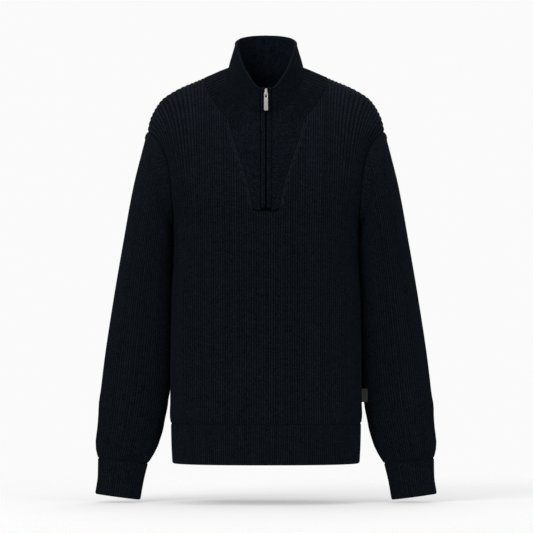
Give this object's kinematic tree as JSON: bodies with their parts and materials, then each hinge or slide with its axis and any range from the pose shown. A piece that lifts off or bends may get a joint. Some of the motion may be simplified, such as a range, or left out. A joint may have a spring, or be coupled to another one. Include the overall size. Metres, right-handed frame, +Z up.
{
  "type": "quarter zip sweater",
  "caption": "Long sleeve rib knit sweater with a stand collar, a short front zip in a V-shaped insert, wide hem band and fitted cuffs, filled out as worn and hollow.",
  "frame": {"origin": "between the shoulders, level with the neck points, where the wearer's shoulders carry the sweater", "axes": "+Z up, -Y the front with the zip, +X the wearer's left"},
  "size_m": [0.5984, 0.2402, 0.816],
  "materials": {
    "rib_knit": "matte half cardigan rib, navy black",
    "zip_tape": "matte woven tape, black",
    "zip_teeth": "satin black coil",
    "zip_metal": "satin nickel",
    "label": "matte woven tape, dark grey"
  },
  "bodies": {
    "garment": {"front_panel": "rib_knit", "back_panel": "rib_knit", "hem_band": "rib_knit", "collar": "rib_knit", "sleeve_left": "rib_knit", "sleeve_right": "rib_knit", "cuff_left": "rib_knit", "cuff_right": "rib_knit", "zip_welt_left": "rib_knit", "zip_welt_right": "rib_knit", "zip_tape_left": "zip_tape", "zip_tape_right": "zip_tape", "zip_chain": "zip_teeth", "zip_slider": "zip_metal", "side_label": "label"},
    "pull": {"zip_pull": "zip_metal"}
  },
  "joints": [
    {"name": "pull_hinge", "type": "hinge", "parent": "garment", "child": "pull", "pos_m": [0, -0.08197, -0.047], "axis": [-1, 0, 0], "range_deg": [-5, 165]}
  ]
}
